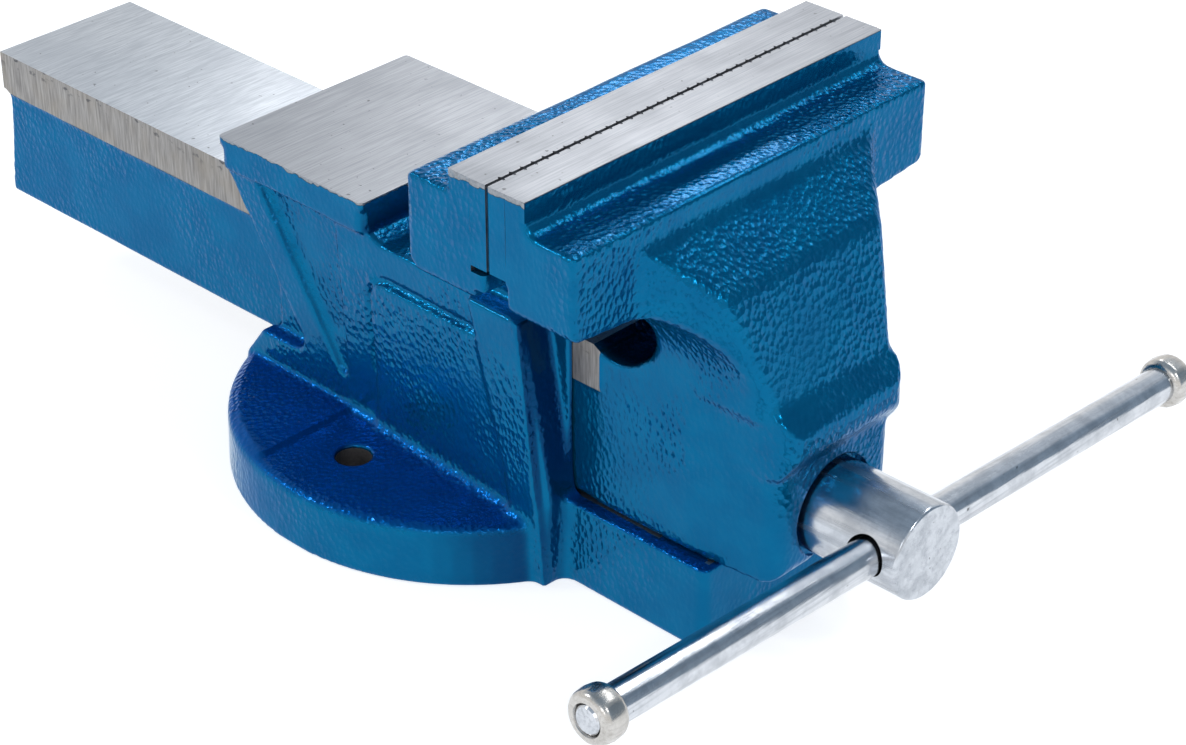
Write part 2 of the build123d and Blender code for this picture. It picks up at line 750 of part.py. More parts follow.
# ---------------------------------------------------------------- spindle
core_dia = spindle_dia - 2 * thread_depth
with BuildPart() as spindle:
    spindle_axis = Plane(origin=(0, 0, spindle_z), x_dir=(1, 0, 0), z_dir=(0, -1, 0))
    with BuildSketch(spindle_axis):
        thread_outline = []
        turns = int(thread_length / thread_pitch)
        for turn in range(turns):
            x = thread_front_x - turn * thread_pitch
            thread_outline += [
                (x, core_dia / 2),
                (x - thread_pitch * thread_flank, spindle_dia / 2),
                (x - thread_pitch * (thread_flank + thread_crest), spindle_dia / 2),
                (x - thread_pitch * (2 * thread_flank + thread_crest), core_dia / 2),
            ]
        with BuildLine():
            Polyline(
                (head_end_x, 0),
                (head_end_x, head_dia / 2 - head_edge),
                (head_end_x - head_edge, head_dia / 2),
                (head_start_x, head_dia / 2),
                (head_start_x, spindle_dia / 2),
                (thread_front_x + thread_pitch / 2, spindle_dia / 2),
                (thread_front_x + thread_pitch / 4, core_dia / 2),
                *thread_outline,
                (spindle_end_x + spindle_tip, core_dia / 2),
                (spindle_end_x, core_dia / 2 - spindle_tip),
                (spindle_end_x, 0),
                close=True,
            )
        make_face()
    revolve(axis=Axis((0, 0, spindle_z), (1, 0, 0)))
    # hole for the handle, across the head
    with Locations(Location((handle_x, 0, spindle_z), (90 - handle_tilt, 0, 0))):
        Hole(handle_hole_dia / 2)
    # hole for the split pin
    with Locations((pin_x, 0, spindle_z)):
        Hole(pin_dia / 2)

# ---------------------------------------------------------------- spindle retainer
with BuildPart() as thrust_spring:
    spring_radius = spindle_dia / 2 + seat_clearance + spring_wire / 2
    spring_rise = spring_length - spring_wire - seat_clearance
    with BuildLine():
        coil = Helix(
            spring_rise / spring_turns,
            spring_rise,
            spring_radius,
            center=(retainer_x + retainer_thk + spring_wire / 2, 0, spindle_z),
            direction=(1, 0, 0),
        )
    with BuildSketch(Plane(origin=coil @ 0, z_dir=coil % 0)):
        Circle(spring_wire / 2)
    sweep(is_frenet=True)

with BuildPart() as retaining_washer:
    with BuildSketch(Plane.YZ.offset(retainer_x)):
        with Locations((0, spindle_z)):
            Circle(retainer_dia / 2)
            Circle(spindle_dia / 2 + washer_play, mode=Mode.SUBTRACT)
    extrude(amount=retainer_thk)

with BuildPart() as split_pin:
    with Locations((pin_x, 0, spindle_z)):
        Cylinder(pin_dia / 2, pin_span)
    with Locations(Location((pin_x, 0, spindle_z + pin_span / 2 - pin_eye_wire / 2), (0, 90, 0))):
        Torus(pin_eye_radius, pin_eye_wire / 2)

# ---------------------------------------------------------------- handle
handle_plane = Plane(
    origin=(handle_x, 0, spindle_z - handle_drop),
    x_dir=(0, math.cos(math.radians(handle_tilt)), -math.sin(math.radians(handle_tilt))),
    z_dir=(1, 0, 0),
)
handle_axis = Axis(handle_plane.origin, handle_plane.x_dir)
near_knob_s = handle_shift - handle_span / 2
far_knob_s = handle_shift + handle_span / 2
with BuildPart() as handle_bar:
    with BuildSketch(handle_plane):
        shoulder = knob_length / 2
        with BuildLine():
            Polyline(
                (near_knob_s - shoulder, 0),
                (near_knob_s - shoulder, handle_tenon_dia / 2),
                (near_knob_s + shoulder, handle_tenon_dia / 2),
                (near_knob_s + shoulder, handle_dia / 2),
                (far_knob_s - shoulder, handle_dia / 2),
                (far_knob_s - shoulder, handle_tenon_dia / 2),
                (far_knob_s + shoulder, handle_tenon_dia / 2),
                (far_knob_s + shoulder, 0),
                close=True,
            )
        make_face()
    revolve(axis=handle_axis)


def knob(middle):
    """Barrel-shaped end knob, riveted over the handle's tenon; middle is along the handle."""
    half = knob_length / 2
    with BuildPart() as made:
        with BuildSketch(handle_plane):
            with BuildLine():
                Polyline(
                    (middle - half, knob_face_dia / 2),
                    (middle - half, handle_tenon_dia / 2),
                    (middle + half, handle_tenon_dia / 2),
                    (middle + half, knob_face_dia / 2),
                )
                ThreePointArc(
                    (middle + half, knob_face_dia / 2),
                    (middle, knob_dia / 2),
                    (middle - half, knob_face_dia / 2),
                )
            make_face()
        revolve(axis=handle_axis)
    return made.part


handle_knob_near = knob(near_knob_s)
handle_knob_far = knob(far_knob_s)

# ---------------------------------------------------------------- spindle nut and its fixing
with BuildPart() as spindle_nut:
    with BuildSketch(Plane.XY.offset(channel_floor_z)):
        with Locations((nut_mid_x, 0)):
            RectangleRounded(nut_length, nut_width, nut_corner_radius)
    extrude(amount=nut_height)
    with Locations((nut_mid_x, 0, channel_floor_z - nut_stem_length / 2)):
        Cylinder(nut_stem_dia / 2, nut_stem_length)
    with Locations(Location((nut_mid_x, 0, spindle_z), (0, 90, 0))):
        Hole(spindle_dia / 2 + journal_clearance)
    with Locations(Location((nut_mid_x, 0, nut_stem_z), (180, 0, 0))):
        Hole(nut_bolt_dia / 2, depth=bolt_top_z - nut_stem_z + nut_tap_runout)
    with Locations(Location((nut_mid_x - dowel_offset, 0, channel_floor_z), (180, 0, 0))):
        Hole(dowel_dia / 2, depth=dowel_length / 2)

with BuildPart() as nut_dowel:
    with Locations((nut_mid_x - dowel_offset, 0, channel_floor_z)):
        Cylinder(dowel_dia / 2, dowel_length)

with BuildPart() as nut_washer:
    with BuildSketch(Plane.XY.offset(lock_top_z)):
        with Locations((nut_mid_x, 0)):
            Circle(nut_washer_dia / 2)
            Circle(nut_bolt_dia / 2 + washer_play, mode=Mode.SUBTRACT)
    extrude(amount=nut_washer_thk)

with BuildPart() as nut_lock_washer:
    with BuildSketch(Plane.XY.offset(bolt_seat_z)):
        with Locations((nut_mid_x, 0)):
            Circle(lock_washer_dia / 2)
            Circle(nut_bolt_dia / 2 + washer_play, mode=Mode.SUBTRACT)
            with Locations((lock_washer_dia / 2, 0)):
                Rectangle(lock_washer_dia / 2, lock_washer_split, mode=Mode.SUBTRACT)
    extrude(amount=lock_washer_thk)

with BuildPart() as nut_bolt:
    with BuildSketch(Plane.XY.offset(bolt_seat_z - nut_bolt_head_height)):
        with Locations((nut_mid_x, 0)):
            RegularPolygon(nut_bolt_head_af / 2, 6, major_radius=False)
    extrude(amount=nut_bolt_head_height)
    with BuildSketch(Plane.XY.offset(bolt_seat_z)):
        with Locations((nut_mid_x, 0)):
            Circle(nut_bolt_dia / 2)
    extrude(amount=nut_bolt_length)

# ---------------------------------------------------------------- written nodes
nodes = {
    "fixed_body": fixed_body.part,
    "fixed_jaw_plate": fixed_jaw_plate,
    "fixed_jaw_screw_near": fixed_jaw_screws["near"],
    "fixed_jaw_screw_far": fixed_jaw_screws["far"],
    "spindle_nut": spindle_nut.part,
    "nut_dowel": nut_dowel.part,
    "nut_washer": nut_washer.part,
    "nut_lock_washer": nut_lock_washer.part,
    "nut_bolt": nut_bolt.part,
    "moving_jaw": moving_jaw.part,
    "moving_jaw_plate": moving_jaw_plate,
    "moving_jaw_screw_near": moving_jaw_screws["near"],
    "moving_jaw_screw_far": moving_jaw_screws["far"],
    "spindle": spindle.part,
    "thrust_spring": thrust_spring.part,
    "retaining_washer": retaining_washer.part,
    "split_pin": split_pin.part,
    "handle_bar": handle_bar.part,
    "handle_knob_near": handle_knob_near,
    "handle_knob_far": handle_knob_far,
}
for name, solid in nodes.items():
    solid.label = name
    export_step(solid, f"parts/{name}.step")
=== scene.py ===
import math

import bpy
import bmesh
import numpy as np
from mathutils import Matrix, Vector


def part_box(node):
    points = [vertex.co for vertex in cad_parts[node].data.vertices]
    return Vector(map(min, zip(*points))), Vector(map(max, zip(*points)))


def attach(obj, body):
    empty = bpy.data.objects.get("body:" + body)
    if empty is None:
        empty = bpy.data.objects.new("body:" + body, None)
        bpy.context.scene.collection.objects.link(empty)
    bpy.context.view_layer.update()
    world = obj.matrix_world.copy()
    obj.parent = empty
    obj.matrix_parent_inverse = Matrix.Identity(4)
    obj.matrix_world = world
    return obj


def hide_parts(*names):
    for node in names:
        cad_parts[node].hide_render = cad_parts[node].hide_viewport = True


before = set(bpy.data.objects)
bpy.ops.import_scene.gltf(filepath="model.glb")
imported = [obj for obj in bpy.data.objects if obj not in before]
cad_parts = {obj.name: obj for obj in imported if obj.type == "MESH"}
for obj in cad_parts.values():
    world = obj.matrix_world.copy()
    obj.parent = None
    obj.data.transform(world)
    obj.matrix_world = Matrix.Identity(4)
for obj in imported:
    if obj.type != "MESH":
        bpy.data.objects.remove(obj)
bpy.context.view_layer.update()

import openvdb
from mathutils import Matrix, Vector

MM = 0.001

# ---------------------------------------------------------------- places taken from the frame
FIXED_LO, FIXED_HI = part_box("fixed_body")
MOVING_LO, MOVING_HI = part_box("moving_jaw")
FIXED_PLATE_LO, FIXED_PLATE_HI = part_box("fixed_jaw_plate")
MOVING_PLATE_LO, MOVING_PLATE_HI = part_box("moving_jaw_plate")
SPINDLE_LO, SPINDLE_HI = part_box("spindle")

JAW_TOP = FIXED_HI.z
JAW_HALF = MOVING_HI.y
GAP_X = (FIXED_PLATE_HI.x + MOVING_PLATE_LO.x) / 2
SPINDLE_Z = (SPINDLE_LO.z + SPINDLE_HI.z) / 2
HEAD_END_X = SPINDLE_HI.x
BAR_TAIL_X = MOVING_LO.x

# ---------------------------------------------------------------- sizes the frame's boxes don't give
# jaws and anvil
FIXED_LAND = 14.9 * MM
FIXED_LEDGE_DROP = 7.0 * MM
MOVING_LAND = 14.2 * MM
SHOULDER_DROP = 10.5 * MM
ANVIL_FRONT_X = -5.9 * MM
ANVIL_LENGTH = 66.5 * MM
ANVIL_WIDTH = 81.3 * MM
ANVIL_TOP = 102.2 * MM

# housing and base
CHANNEL_FLOOR = 28.2 * MM
CHANNEL_TOP = 83.8 * MM
CHANNEL_HALF = 28.95 * MM
PANEL_BACK_X = -5.9 * MM
PANEL_TOP = 76.0 * MM
PANEL_CORNER = 9.0 * MM
BASE_TOP = 20.8 * MM
BOLT_HOLE_R = 5.75 * MM
BOLT_HOLE_Y = 53.5 * MM

# slide and nose of the moving jaw
BAR_TOP = 83.5 * MM
BAR_HALF = 28.65 * MM
STRIP_LOW = BAR_TOP - 14.0 * MM
STRIP_END_X = GAP_X - 2.8 * MM
STRIP_TAIL_X = GAP_X - 289.5 * MM
RELIEF_R = 14.3 * MM
RELIEF_X = GAP_X + 4.0 * MM
RELIEF_Z = BAR_TOP + 11.5 * MM
NOSE_X = GAP_X + 65.0 * MM
BORE_R = 11.08 * MM
RECESS_R = 16.5 * MM
RECESS_DEPTH = 3.0 * MM

# spindle and handle
HEAD_R = 15.0 * MM
SHAFT_R = 11.0 * MM
THREAD_PITCH = 5.0 * MM
THREAD_DEPTH = 2.2 * MM
THREAD_FRONT_X = 106.7 * MM
HANDLE_X = HEAD_END_X - 11.3 * MM
HANDLE_HOLE_R = 6.5 * MM
HANDLE_R = 5.8 * MM
HANDLE_TILT = math.radians(3.08)
HANDLE_DROP = 0.4 * MM
HANDLE_SPAN = 258.5 * MM
HANDLE_SHIFT = 5.6 * MM
KNOB_LENGTH = 9.0 * MM
KNOB_R = 8.3 * MM
TENON_R = 4.3 * MM

# casting and machining
VOXEL = 0.6 * MM
STOCK = 5.0 * MM
FILL = 1.0 * MM
EDGE_ROUNDING = 0.8 * MM
UNEVENNESS = 0.14 * MM
PAINT_STEP = 0.3 * MM
FLAT = 0.02 * MM
PAST = 20 * MM


# ---------------------------------------------------------------- camera
def make_camera():
    """The photograph's view: a long lens, looking down from the front, on the near side."""
    camera = bpy.data.objects.new("camera", bpy.data.cameras.new("camera"))
    bpy.context.scene.collection.objects.link(camera)
    camera.data.sensor_width = 36.0
    camera.data.lens = 91.0
    camera.data.clip_start = 0.05
    camera.data.clip_end = 20.0
    camera.location = (0.5965, -0.5685, 0.5324)
    pitch_down = math.radians(31.54)
    yaw = math.radians(43.75)
    camera.rotation_euler = (math.pi / 2 - pitch_down, 0.0, yaw)
    bpy.context.scene.camera = camera


make_camera()


# ---------------------------------------------------------------- mesh helpers
def new_object(name, mesh):
    piece = bpy.data.objects.new(name, mesh)
    bpy.context.scene.collection.objects.link(piece)
    return piece


def replace_mesh(piece, mesh):
    old = piece.data
    piece.data = mesh
    bpy.data.meshes.remove(old)


def copy_of(node, name):
    """A bare copy of a node of the frame, its doubled points joined; the node stays as it is."""
    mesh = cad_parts[node].data.copy()
    mesh.materials.clear()
    work = bmesh.new()
    work.from_mesh(mesh)
    bmesh.ops.remove_doubles(work, verts=work.verts, dist=1e-6)
    work.to_mesh(mesh)
    work.free()
    return new_object(name, mesh)


def both(half):
    """The range that reaches as far on both sides of 0."""
    return (-half, half)


# a cutter's range along Y, past both sides of the object
ACROSS = both(100 * MM)


def box_object(name, x, y, z):
    """A cuboid from its range along each axis, used to add or cut."""
    work = bmesh.new()
    bmesh.ops.create_cube(work, size=1.0)
    for vertex in work.verts:
        vertex.co = Vector([lo if value < 0 else hi for value, (lo, hi) in zip(vertex.co, (x, y, z))])
    mesh = bpy.data.meshes.new(name)
    work.to_mesh(mesh)
    work.free()
    return new_object(name, mesh)


def cylinder_object(name, radius, start, end, sides=96):
    """A cylinder between two points, used to add or cut."""
    start, end = Vector(start), Vector(end)
    axis = end - start
    work = bmesh.new()
    bmesh.ops.create_cone(
        work, cap_ends=True, segments=sides, radius1=radius, radius2=radius, depth=axis.length
    )
    turn = axis.to_track_quat("Z", "Y").to_matrix().to_4x4()
    bmesh.ops.transform(work, matrix=Matrix.Translation((start + end) / 2) @ turn, verts=work.verts)
    mesh = bpy.data.meshes.new(name)
    work.to_mesh(mesh)
    work.free()
    return new_object(name, mesh)


def revolved(name, profile, origin, axis, sides=128):
    """Turns a list of (distance along, radius) pairs about an axis; the ends close at radius 0."""
    axis = Vector(axis).normalized()
    side = axis.orthogonal().normalized()
    other = axis.cross(side)
    origin = Vector(origin)
    points, faces, rings = [], [], []
    for along, radius in profile:
        start = len(points)
        middle = origin + axis * along
        if radius == 0.0:
            points.append(middle)
            rings.append([start] * sides)
            continue
        for k in range(sides):
            turn = 2 * math.pi * k / sides
            points.append(middle + (side * math.cos(turn) + other * math.sin(turn)) * radius)
        rings.append(list(range(start, start + sides)))
    for a, b in zip(rings, rings[1:]):
        for k in range(sides):
            n = (k + 1) % sides
            face = [a[k], a[n], b[n], b[k]]
            unique = list(dict.fromkeys(face))
            if len(unique) > 2:
                faces.append(unique)
    mesh = bpy.data.meshes.new(name)
    mesh.from_pydata([tuple(p) for p in points], [], faces)
    work = bmesh.new()
    work.from_mesh(mesh)
    bmesh.ops.recalc_face_normals(work, faces=work.faces)
    work.to_mesh(mesh)
    work.free()
    return new_object(name, mesh)


def arc(centre, radius, start, end, steps):
    """Points of a profile's rounding, angles in degrees from the axis's direction."""
    turns = [math.radians(start + (end - start) * k / steps) for k in range(steps + 1)]
    return [(centre[0] + radius * math.cos(t), centre[1] + radius * math.sin(t)) for t in turns]


def boolean(piece, operation, tools):
    """Unites the piece with the tools, or cuts them from it, and removes the tools."""
    for tool in tools:
        modifier = piece.modifiers.new("boolean", "BOOLEAN")
        modifier.operation = operation
        modifier.solver = "MANIFOLD"
        modifier.object = tool
    bpy.context.view_layer.update()
    graph = bpy.context.evaluated_depsgraph_get()
    result = bpy.data.meshes.new_from_object(piece.evaluated_get(graph))
    piece.modifiers.clear()
    replace_mesh(piece, result)
    for tool in tools:
        data = tool.data
        bpy.data.objects.remove(tool)
        bpy.data.meshes.remove(data)


def smooth_by_angle(piece, degrees):
    """Smooth shading, with edges sharper than the angle kept crisp."""
    mesh = piece.data
    mesh.polygons.foreach_set("use_smooth", [True] * len(mesh.polygons))
    mesh.set_sharp_from_angle(angle=math.radians(degrees))


def dress(piece, material):
    """Gives the whole piece one material."""
    piece.data.materials.clear()
    piece.data.materials.append(material)


def paint_faces(piece, materials, choose):
    """Gives each face the material whose number choose returns from centres and normals."""
    mesh = piece.data
    mesh.materials.clear()
    for material in materials:
        mesh.materials.append(material)
    centres = np.empty(len(mesh.polygons) * 3)
    normals = np.empty(len(mesh.polygons) * 3)
    mesh.polygons.foreach_get("center", centres)
    mesh.polygons.foreach_get("normal", normals)
    kind = choose(centres.reshape(-1, 3), normals.reshape(-1, 3))
    mesh.polygons.foreach_set("material_index", kind.astype(np.int32))


# ---------------------------------------------------------------- distances on a grid
def surface_of(mesh):
    """Points, triangles and (no) quads of a mesh as arrays."""
    mesh.calc_loop_triangles()
    points = np.empty(len(mesh.vertices) * 3, np.float32)
    mesh.vertices.foreach_get("co", points)
    corners = np.empty(len(mesh.loop_triangles) * 3, np.int32)
    mesh.loop_triangles.foreach_get("vertices", corners)
    triangles = corners.reshape(-1, 3).astype(np.uint32)
    return points.reshape(-1, 3), triangles, np.zeros((0, 4), np.uint32)


def mesh_of(name, surface):
    """A mesh from points, triangles and quads, turned so that its faces look outwards."""
    points, triangles, quads = surface
    corners = np.concatenate([triangles[:, ::-1].ravel(), quads[:, ::-1].ravel()])
    quad_start = 3 * len(triangles)
    starts = np.concatenate([3 * np.arange(len(triangles)), quad_start + 4 * np.arange(len(quads))])
    mesh = bpy.data.meshes.new(name)
    mesh.vertices.add(len(points))
    mesh.vertices.foreach_set("co", points.ravel())
    mesh.loops.add(len(corners))
    mesh.loops.foreach_set("vertex_index", corners.astype(np.int32))
    mesh.polygons.add(len(starts))
    mesh.polygons.foreach_set("loop_start", starts.astype(np.int32))
    mesh.update(calc_edges=True)
    return mesh


def grid_of(surface, reach):
    """Distances to a closed surface, out to a reach on both sides of it."""
    points, triangles, quads = surface
    return openvdb.FloatGrid.createLevelSetFromPolygons(
        points,
        triangles=triangles,
        quads=quads,
        transform=openvdb.createLinearTransform(VOXEL),
        halfWidth=reach / VOXEL + 4.0,
    )


class Block:
    """A regular block of points round a piece, on which distances are kept as arrays."""

    def __init__(self, lo, hi, margin=10 * MM):
        self.first = [math.floor((value - margin) / VOXEL) for value in lo]
        last = [math.ceil((value + margin) / VOXEL) for value in hi]
        self.shape = [end - start + 1 for start, end in zip(self.first, last)]
        steps = [VOXEL * (start + np.arange(n)) for start, n in zip(self.first, self.shape)]
        self.x = steps[0][:, None, None]
        self.y = steps[1][None, :, None]
        self.z = steps[2][None, None, :]

    def values(self, grid):
        array = np.zeros(self.shape, np.float32)
        grid.copyToArray(array, ijk=self.first)
        return array

    def surface(self, array):
        """The surface at distance 0 in an array of distances."""
        grid = openvdb.FloatGrid(float(array[0, 0, 0]))
        grid.gridClass = openvdb.GridClass.LEVEL_SET
        grid.transform = openvdb.createLinearTransform(VOXEL)
        grid.copyFromArray(array.astype(np.float32), ijk=self.first)
        return grid.convertToPolygons(isovalue=0.0, adaptivity=0.0)

    def closed(self, surface, radius):
        """Distances to the surface once its hollow corners are rounded."""
        grown = grid_of(surface, radius).convertToPolygons(isovalue=radius, adaptivity=0.0)
        return self.values(grid_of(grown, radius)) + radius

    def opened(self, surface, radius):
        """Distances to the surface once its proud edges are rounded."""
        shrunk = grid_of(surface, radius).convertToPolygons(isovalue=-radius, adaptivity=0.0)
        return self.values(grid_of(shrunk, radius)) - radius


def ease(value, low, high):
    """0 at low, 1 at high, smooth between; low may be above high."""
    share = np.clip((value - low) / (high - low), 0.0, 1.0)
    return share * share * (3.0 - 2.0 * share)


def merged(share, a, b):
    """a where share is 0, b where it is 1."""
    return a * (1 - share) + b * share


def waves(block):
    """The slight unevenness of a sand casting."""
    a = np.sin(block.x / (7.3 * MM) + 1.7 * np.sin(block.z / (13.0 * MM)))
    b = np.sin(block.y / (8.9 * MM) + 1.3 * np.sin(block.x / (15.0 * MM)))
    c = np.sin(block.z / (6.1 * MM) + 1.1 * np.sin(block.y / (12.0 * MM)))
    return UNEVENNESS * (a * b + b * c + c * a) / 3.0


# ---------------------------------------------------------------- node helpers
class Nodes:
    """A node tree under construction."""

    def __init__(self, tree):
        self.tree = tree
        tree.nodes.clear()

    def node(self, kind, inputs=None, **settings):
        """Adds a node; inputs maps a socket's name or number to a value or to another socket."""
        made = self.tree.nodes.new("ShaderNode" + kind)
        for key, value in settings.items():
            setattr(made, key, value)
        for key, value in (inputs or {}).items():
            self.feed(made.inputs[key], value)
        return made

    def feed(self, socket, value):
        if isinstance(value, bpy.types.NodeSocket):
            self.tree.links.new(value, socket)
        else:
            socket.default_value = value

    def math(self, operation, a, b=0.0, clamp=False):
        return self.node("Math", {0: a, 1: b}, operation=operation, use_clamp=clamp).outputs[0]

    def product(self, a, b):
        return self.math("MULTIPLY", a, b)

    def split(self, vector):
        """The sockets X, Y and Z of a vector."""
        return self.node("SeparateXYZ", {"Vector": vector}).outputs

    def ramp(self, value, low, high, first=0.0, last=1.0):
        """First at low, last at high, smooth between; low may be above high."""
        ends = {"From Min": low, "From Max": high, "To Min": first, "To Max": last}
        made = self.node("MapRange", {"Value": value, **ends}, interpolation_type="SMOOTHSTEP")
        return made.outputs[0]

    def mix(self, share, a, b):
        """Colour mix."""
        return self.node("Mix", {0: share, 6: a, 7: b}, data_type="RGBA").outputs[2]

    def blend(self, share, a, b):
        """Value mix."""
        return self.node("Mix", {0: share, 2: a, 3: b}, data_type="FLOAT").outputs[0]


class Shader(Nodes):
    """A material under construction."""

    def __init__(self, name):
        self.material = bpy.data.materials.new(name)
        self.material.use_nodes = True
        super().__init__(self.material.node_tree)
        self.surface = self.node("BsdfPrincipled")
        self.node("OutputMaterial", {"Surface": self.surface.outputs[0]})
        self.position = self.node("TexCoord").outputs["Object"]

    def scaled(self, scale):
        """Object coordinates, stretched by a scale for each axis."""
        return self.node("Mapping", {"Vector": self.position, "Scale": scale}).outputs[0]

    def noise(self, vector, scale=1.0, detail=2.0, roughness=0.5):
        inputs = {"Vector": vector, "Scale": scale, "Detail": detail, "Roughness": roughness}
        return self.node("TexNoise", inputs).outputs["Fac"]

    def bump(self, height, distance, strength=1.0):
        inputs = {"Height": height, "Distance": distance, "Strength": strength}
        return self.node("Bump", inputs).outputs[0]

    def set(self, **values):
        """Sets the surface shader's sockets; a word's underscores stand for spaces."""
        for key, value in values.items():
            self.feed(self.surface.inputs[key.replace("_", " ")], value)


def rgb(red, green, blue):
    """A colour of the shader, from 0 to 255 as a screen shows it."""
    linear = []
    for value in (red, green, blue):
        share = value / 255.0
        linear.append(share / 12.92 if share <= 0.04045 else ((share + 0.055) / 1.055) ** 2.4)
    return (*linear, 1.0)


# ---------------------------------------------------------------- materials
def hammer_dimples(s):
    """Height of hammer-tone dimples, deeper in some patches, over a fine grain."""
    drift = s.node("TexNoise", {"Vector": s.position, "Scale": 420.0, "Detail": 1.0}).outputs["Color"]
    sway = (0.6 * MM, 0.6 * MM, 0.6 * MM)
    stretched = s.scaled((1.0, 1.0, 0.75))
    warped = s.node("VectorMath", {0: drift, 1: sway, 2: stretched}, operation="MULTIPLY_ADD")
    cells = {"Vector": warped.outputs[0], "Scale": 590.0, "Smoothness": 0.3}
    distance = s.node("TexVoronoi", cells, feature="SMOOTH_F1").outputs["Distance"]
    patch = s.ramp(s.noise(s.position, scale=30.0, detail=1.0), 0.36, 0.62)
    fine = s.noise(s.position, scale=1700.0, detail=2.0)
    return s.math("ADD", s.product(distance, s.blend(patch, 0.22, 0.8)), s.product(fine, 0.08))


def paint_colour_and_shade(s, place, normal):
    """Blue that flows unevenly, with painted shade: a deeper blue on low faces that look up, such as the
    flange, and darker paint on the fixed casting's front faces and inside the relief.
    """
    # painted shade: low faces that look up, such as the flange top, turn a deeper blue
    painted_shade_on_low_tops = s.product(s.ramp(normal["Z"], 0.2, 0.9), s.ramp(place["Z"], 60 * MM, 22 * MM))
    base = s.mix(painted_shade_on_low_tops, rgb(0, 101, 145), rgb(0, 82, 154))
    flow = s.ramp(s.noise(s.position, scale=90.0, detail=3.0), 0.3, 0.7)
    base = s.mix(s.product(flow, 0.22), base, rgb(0, 60, 112))

    # painted shade on the front faces of the fixed casting, below its jaw
    forward = s.ramp(normal["X"], 0.5, 0.85)
    front = s.product(forward, s.ramp(place["X"], GAP_X - 8 * MM, GAP_X - 14 * MM))
    front = s.product(front, s.ramp(place["Z"], 100 * MM, 90 * MM))
    base = s.mix(s.product(front, 0.75), base, rgb(0, 36, 84))

    # painted shade inside the round relief in the moving jaw's neck
    from_axis = {0: s.math("SUBTRACT", place["X"], RELIEF_X), 1: s.math("SUBTRACT", place["Z"], RELIEF_Z)}
    flat = s.node("CombineXYZ", from_axis).outputs[0]
    radius = s.node("VectorMath", {0: flat}, operation="LENGTH").outputs["Value"]
    near_axis = s.ramp(radius, RELIEF_R + 1.0 * MM, RELIEF_R + 0.2 * MM)
    relief = s.product(near_axis, s.ramp(s.math("ABSOLUTE", place["Y"]), 31 * MM, 24 * MM))
    return s.mix(s.product(relief, 0.9), base, rgb(0, 14, 40))


def bare_iron(s, place, normal):
    """1 where paint is ground off, with a ragged edge: under the jaws' tops and the anvil's face."""
    ragged = s.math("SUBTRACT", s.noise(s.position, scale=260.0, detail=4.0), 0.5)
    uneven = s.math("ADD", place["Z"], s.product(ragged, 3.4 * MM))
    at_ends = s.ramp(s.math("ABSOLUTE", normal["Y"]), 0.5, 0.8)
    band = s.blend(at_ends, 0.5 * MM, 2.0 * MM)
    raised = s.math("ADD", s.blend(at_ends, place["Z"], uneven), band)
    at_jaws = s.ramp(raised, JAW_TOP, JAW_TOP + 0.4 * MM)
    at_anvil = s.ramp(uneven, ANVIL_TOP - 0.8 * MM, ANVIL_TOP - 0.4 * MM)
    behind = s.math("LESS_THAN", place["X"], ANVIL_FRONT_X + 1 * MM)
    return s.math("MAXIMUM", at_jaws, s.product(at_anvil, behind))


def make_paint():
    """Blue hammer-tone enamel, ground through to grey iron just under the machined faces."""
    s = Shader("hammer_paint")
    place = s.split(s.position)
    normal = s.split(s.node("NewGeometry").outputs["Normal"])
    bare = bare_iron(s, place, normal)
    grain = s.noise(s.position, scale=1500.0, detail=3.0)
    iron = s.mix(grain, rgb(104, 106, 110), rgb(176, 178, 182))
    base = s.mix(bare, paint_colour_and_shade(s, place, normal), iron)
    rim = s.product(bare, s.math("SUBTRACT", 1.0, bare))
    base = s.mix(s.math("MULTIPLY", rim, 3.4, clamp=True), base, rgb(18, 26, 36))
    bumped = s.bump(hammer_dimples(s), 0.52 * MM)
    s.set(Base_Color=base, Metallic=s.blend(bare, 0.75, 0.85), Roughness=s.blend(bare, 0.24, 0.42))
    s.set(Specular_IOR_Level=0.0, Specular_Tint=(0.15, 0.5, 0.8, 1.0))
    s.set(Coat_Weight=1.0, Coat_IOR=1.13, Coat_Roughness=0.07)
    s.set(Normal=bumped, Coat_Normal=bumped)
    return s.material


def make_ground(name, brush, colour, dark, roughness=0.34):
    """A ground or planed steel face; brush gives the marks' length along each axis, in metres."""
    s = Shader(name)
    lines = s.noise(s.scaled([1.0 / length for length in brush]), detail=3.0, roughness=0.6)
    broad = s.noise(s.position, scale=45.0, detail=3.0)
    pits = s.ramp(s.noise(s.position, scale=420.0, detail=2.0), 0.70, 0.76)
    base = s.mix(s.ramp(lines, 0.25, 0.75), dark, colour)
    base = s.mix(s.product(s.ramp(broad, 0.45, 0.75), 0.35), base, dark)
    base = s.mix(s.product(pits, 0.7), base, rgb(70, 70, 72))
    rough = s.blend(broad, roughness - 0.05, roughness + 0.08)
    s.set(Base_Color=base, Metallic=1.0, Roughness=rough, Normal=s.bump(lines, 0.03 * MM, 0.6))
    return s.material


def make_strip():
    """Planed side strip of the slide: upright tool marks, brownish patches, pits along its top."""
    s = Shader("planed_strip")
    marks = s.noise(s.scaled((1 / 0.0009, 1 / 0.01, 1 / 0.012)), detail=3.0, roughness=0.6)
    broad = s.noise(s.position, scale=70.0, detail=3.0)
    pits = s.ramp(s.noise(s.scaled((260.0, 260.0, 420.0)), detail=3.0), 0.58, 0.68)
    near_top = s.ramp(s.split(s.position)["Z"], BAR_TOP - 6.0 * MM, BAR_TOP - 1.0 * MM)
    base = s.mix(s.ramp(marks, 0.2, 0.8), rgb(112, 110, 109), rgb(164, 162, 160))
    base = s.mix(s.product(s.ramp(broad, 0.4, 0.7), 0.4), base, rgb(142, 134, 122))
    base = s.mix(s.product(s.product(pits, near_top), 0.85), base, rgb(62, 64, 70))
    s.set(Base_Color=base, Metallic=0.85, Roughness=0.42, Normal=s.bump(marks, 0.06 * MM, 0.8))
    return s.material


